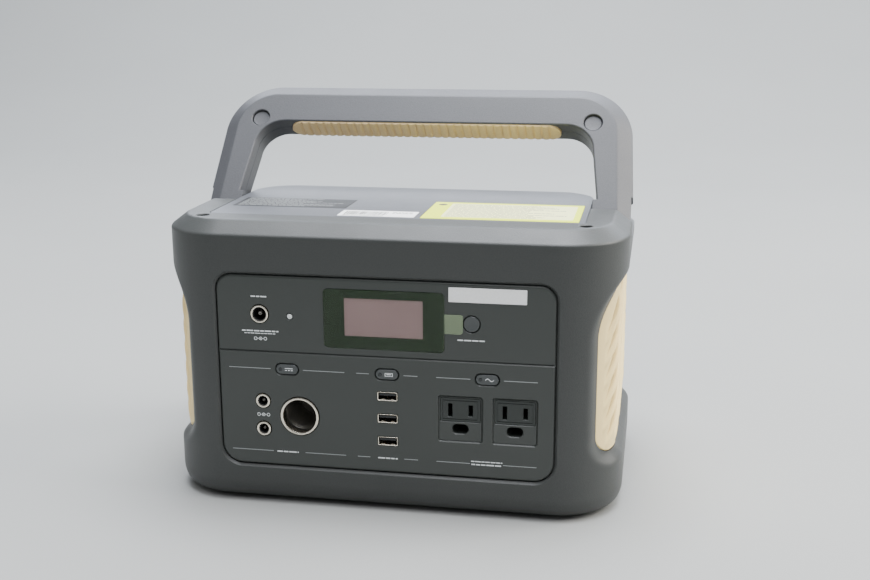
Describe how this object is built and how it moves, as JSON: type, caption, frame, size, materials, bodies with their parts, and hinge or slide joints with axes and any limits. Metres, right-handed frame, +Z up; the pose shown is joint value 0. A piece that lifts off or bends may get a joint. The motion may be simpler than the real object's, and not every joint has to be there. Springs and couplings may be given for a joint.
{
  "type": "portable power station",
  "caption": "Box-shaped battery power station with a folding carrying handle, tan side grilles and a front panel of sockets and push buttons.",
  "frame": {"origin": "on the ground under the middle of the case", "axes": "+X to the right along the front, +Y to the back, +Z up"},
  "size_m": [0.292, 0.1932, 0.2512],
  "materials": {
    "shell_plastic": "fine matte texture, charcoal",
    "deck_plastic": "smooth matte, charcoal",
    "panel_plastic": "smooth satin, dark grey",
    "tan_plastic": "smooth matte, tan",
    "grip_rubber": "ribbed soft-touch, tan",
    "foot_rubber": "matte",
    "steel": "satin",
    "nickel": "bright nickel",
    "window_acrylic": "gloss black",
    "screen": "unlit liquid crystal, pinkish grey",
    "film": "thin clear film with a green tint",
    "white_label": "satin printed label",
    "yellow_label": "satin printed label",
    "dark_label": "satin printed label",
    "button_plastic": "satin",
    "light_lens": "clear lens",
    "black_plastic": "satin",
    "circuit_board": "solder mask",
    "cell_pack": "shrink wrap over cells",
    "aluminium": "mill finish",
    "copper": "enamelled winding"
  },
  "bodies": {
    "housing": {"front_shell": "shell_plastic", "rear_shell": "shell_plastic", "top_plate": "deck_plastic", "side_panel_left": "tan_plastic", "side_panel_right": "tan_plastic", "rating_label": "dark_label", "stock_label": "white_label", "notice_label": "yellow_label", "foot_front_left": "foot_rubber", "foot_front_right": "foot_rubber", "foot_rear_left": "foot_rubber", "foot_rear_right": "foot_rubber", "top_screw_left": "steel", "top_screw_right": "steel", "rear_screw_low_left": "steel", "rear_screw_low_right": "steel", "rear_screw_high_left": "steel", "rear_screw_high_right": "steel", "front_panel": "panel_plastic", "display_window": "window_acrylic", "display_module": "screen", "display_film": "film", "name_plate": "white_label", "charge_light": "light_lens", "input_jack": "nickel", "dc_jack_upper": "nickel", "dc_jack_lower": "nickel", "car_socket": "nickel", "car_socket_contact": "steel", "usb_port_top": "steel", "usb_port_middle": "steel", "usb_port_bottom": "steel", "ac_outlet_left": "black_plastic", "ac_outlet_right": "black_plastic", "pivot_pin_left": "steel", "pivot_pin_right": "steel", "battery_tray": "black_plastic", "battery_pack": "cell_pack", "battery_board": "circuit_board", "inverter_board": "circuit_board", "transformer": "copper", "heat_sink": "aluminium", "control_board": "circuit_board", "battery_lead": "copper", "fan_frame": "black_plastic"},
    "handle": {"handle_front": "shell_plastic", "handle_back": "shell_plastic", "handle_grip": "grip_rubber", "handle_plug_left": "shell_plastic", "handle_plug_right": "shell_plastic"},
    "display_button": {"display_button": "button_plastic"},
    "dc_button": {"dc_button": "button_plastic"},
    "usb_button": {"usb_button": "button_plastic"},
    "ac_button": {"ac_button": "button_plastic"},
    "fan_rotor": {"fan_rotor": "black_plastic"}
  },
  "joints": [
    {"name": "handle_fold", "type": "hinge", "parent": "housing", "child": "handle", "pos_m": [0, 0.0015, 0.1766], "axis": [1, 0, 0], "range_deg": [-53, 37]},
    {"name": "display_button_press", "type": "slide", "parent": "housing", "child": "display_button", "axis": [0, 1, 0], "range_m": [0, 0.0012], "stiffness_N_per_m": 500},
    {"name": "dc_button_press", "type": "slide", "parent": "housing", "child": "dc_button", "axis": [0, 1, 0], "range_m": [0, 0.0012], "stiffness_N_per_m": 500},
    {"name": "usb_button_press", "type": "slide", "parent": "housing", "child": "usb_button", "axis": [0, 1, 0], "range_m": [0, 0.0012], "stiffness_N_per_m": 500},
    {"name": "ac_button_press", "type": "slide", "parent": "housing", "child": "ac_button", "axis": [0, 1, 0], "range_m": [0, 0.0012], "stiffness_N_per_m": 500},
    {"name": "fan_spin", "type": "hinge", "parent": "housing", "child": "fan_rotor", "pos_m": [0.118, 0.006, 0.122], "axis": [1, 0, 0], "continuous": true}
  ]
}
